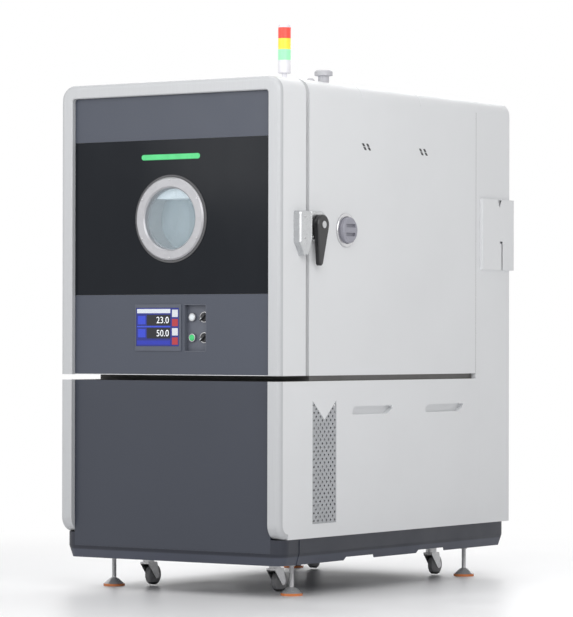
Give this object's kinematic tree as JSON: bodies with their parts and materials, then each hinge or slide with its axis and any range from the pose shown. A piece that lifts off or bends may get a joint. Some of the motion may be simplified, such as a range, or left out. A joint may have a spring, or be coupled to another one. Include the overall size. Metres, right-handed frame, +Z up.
{
  "type": "environmental test chamber",
  "caption": "Reach-in temperature and humidity test chamber with a hinged windowed door, operator panel, side test port, signal tower, casters and levelling feet.",
  "frame": {"origin": "on the floor, under the middle of the cabinet", "axes": "+Z up, +X to the right of someone facing the door, +Y from the door to the back"},
  "size_m": [1.0606, 1.614, 2.054],
  "materials": {
    "silver_trim": "satin anodised",
    "white_paint": "fine powder coat",
    "dark_panel": "satin paint",
    "front_panel_dark": "satin paint",
    "base_dark": "satin paint",
    "frame_grey": "matt paint",
    "black_glass": "gloss",
    "window_glass": "clear",
    "stainless": "brushed",
    "coil_metal": "bare",
    "machine_black": "gloss paint",
    "machine_grey": "paint",
    "foam": "foamed",
    "seal_rubber": "matt",
    "latch_metal": "satin",
    "hinge_metal": "satin",
    "led_green": "lit",
    "hmi_plastic": "gloss",
    "screen": "lit",
    "pocket_plastic": "matt",
    "button_white": "lit",
    "button_green": "lit",
    "knob_black": "matt",
    "port_steel": "brushed",
    "plug_rubber": "matt",
    "tower_plastic": "gloss",
    "lens_green": "translucent",
    "lens_yellow": "translucent",
    "lens_red": "translucent",
    "vent_plastic": "matt",
    "foot_metal": "black oxide",
    "fork_zinc": "zinc plate",
    "wheel_plastic": "matt",
    "fan_metal": "bare"
  },
  "bodies": {
    "cabinet": {"base_tray": "base_dark", "levelling_feet": "foot_metal", "chassis_frame": "frame_grey", "lower_front_panel": "front_panel_dark", "lower_corner_strips": "silver_trim", "lower_side_panel_right": "white_paint", "lower_side_panel_left": "white_paint", "side_grilles": "white_paint", "upper_casing": "white_paint", "insulation": "foam", "inner_liner": "stainless", "shelves": "stainless", "air_baffle": "stainless", "fan_motor": "machine_grey", "heater": "stainless", "evaporator": "coil_metal", "rear_column": "white_paint", "rear_panel": "white_paint", "side_cable_box": "white_paint", "control_cabinet": "machine_grey", "compressors": "machine_black", "condenser": "coil_metal", "hinge_body_leaves": "hinge_metal", "handle_base": "latch_metal", "test_port_flange": "port_steel", "signal_tower_body": "tower_plastic", "signal_lens_green": "lens_green", "signal_lens_yellow": "lens_yellow", "signal_lens_red": "lens_red", "roof_vents": "vent_plastic", "rear_caster_forks": "fork_zinc"},
    "door": {"door_frame": "silver_trim", "door_shell": "white_paint", "door_bands": "dark_panel", "door_glass_panel": "black_glass", "door_core": "foam", "door_inner_pan": "stainless", "door_gasket": "seal_rubber", "window_frame": "silver_trim", "window_panes": "window_glass", "led_bar": "led_green", "hmi_bezel": "hmi_plastic", "hmi_screen": "screen", "control_pocket": "pocket_plastic", "door_keeper": "latch_metal", "hinge_door_leaves": "hinge_metal"},
    "handle_lever": {"handle_lever": "latch_metal"},
    "button_white": {"button_white": "button_white"},
    "button_green": {"button_green": "button_green"},
    "knob_upper": {"knob_upper": "knob_black"},
    "knob_lower": {"knob_lower": "knob_black"},
    "test_port_plug": {"test_port_plug": "plug_rubber"},
    "fan_rotor": {"fan_rotor": "fan_metal"},
    "condenser_fan": {"condenser_fan": "fan_metal"},
    "caster_fork_left": {"caster_fork_left": "fork_zinc"},
    "caster_fork_right": {"caster_fork_right": "fork_zinc"},
    "wheel_front_left": {"wheel_front_left": "wheel_plastic"},
    "wheel_front_right": {"wheel_front_right": "wheel_plastic"},
    "wheel_rear_left": {"wheel_rear_left": "wheel_plastic"},
    "wheel_rear_right": {"wheel_rear_right": "wheel_plastic"}
  },
  "joints": [
    {"name": "door_hinge", "type": "hinge", "parent": "cabinet", "child": "door", "pos_m": [-0.515, -0.6255, 1.285], "axis": [0, 0, -1], "range_deg": [0, 110]},
    {"name": "latch_lever", "type": "hinge", "parent": "cabinet", "child": "handle_lever", "pos_m": [0.517, -0.574, 1.329], "axis": [1, 0, 0], "range_deg": [0, 60]},
    {"name": "white_button_press", "type": "slide", "parent": "door", "child": "button_white", "axis": [0, 1, 0], "range_m": [0, 0.004], "stiffness_N_per_m": 500},
    {"name": "green_button_press", "type": "slide", "parent": "door", "child": "button_green", "axis": [0, 1, 0], "range_m": [0, 0.004], "stiffness_N_per_m": 500},
    {"name": "upper_knob_turn", "type": "hinge", "parent": "door", "child": "knob_upper", "pos_m": [0.134, -0.765, 0.998], "axis": [0, 1, 0], "range_deg": [0, 90]},
    {"name": "lower_knob_turn", "type": "hinge", "parent": "door", "child": "knob_lower", "pos_m": [0.134, -0.765, 0.924], "axis": [0, 1, 0], "range_deg": [0, 90]},
    {"name": "port_plug_pull", "type": "slide", "parent": "cabinet", "child": "test_port_plug", "axis": [1, 0, 0], "range_m": [0, 0.13]},
    {"name": "circulation_fan_spin", "type": "hinge", "parent": "cabinet", "child": "fan_rotor", "pos_m": [0, 0.24, 1.56], "axis": [0, 1, 0], "continuous": true},
    {"name": "condenser_fan_spin", "type": "hinge", "parent": "cabinet", "child": "condenser_fan", "pos_m": [0.368, -0.44, 0.4], "axis": [1, 0, 0], "continuous": true},
    {"name": "left_caster_swivel", "type": "hinge", "parent": "cabinet", "child": "caster_fork_left", "pos_m": [-0.285, -0.53, 0.1], "axis": [0, 0, 1], "continuous": true},
    {"name": "right_caster_swivel", "type": "hinge", "parent": "cabinet", "child": "caster_fork_right", "pos_m": [0.285, -0.53, 0.1], "axis": [0, 0, 1], "continuous": true},
    {"name": "front_left_roll", "type": "hinge", "parent": "caster_fork_left", "child": "wheel_front_left", "pos_m": [-0.285, -0.502, 0.0415], "axis": [1, 0, 0], "continuous": true},
    {"name": "front_right_roll", "type": "hinge", "parent": "caster_fork_right", "child": "wheel_front_right", "pos_m": [0.285, -0.502, 0.0415], "axis": [1, 0, 0], "continuous": true},
    {"name": "rear_left_roll", "type": "hinge", "parent": "cabinet", "child": "wheel_rear_left", "pos_m": [-0.285, 0.573, 0.0415], "axis": [1, 0, 0], "continuous": true},
    {"name": "rear_right_roll", "type": "hinge", "parent": "cabinet", "child": "wheel_rear_right", "pos_m": [0.285, 0.573, 0.0415], "axis": [1, 0, 0], "continuous": true}
  ]
}
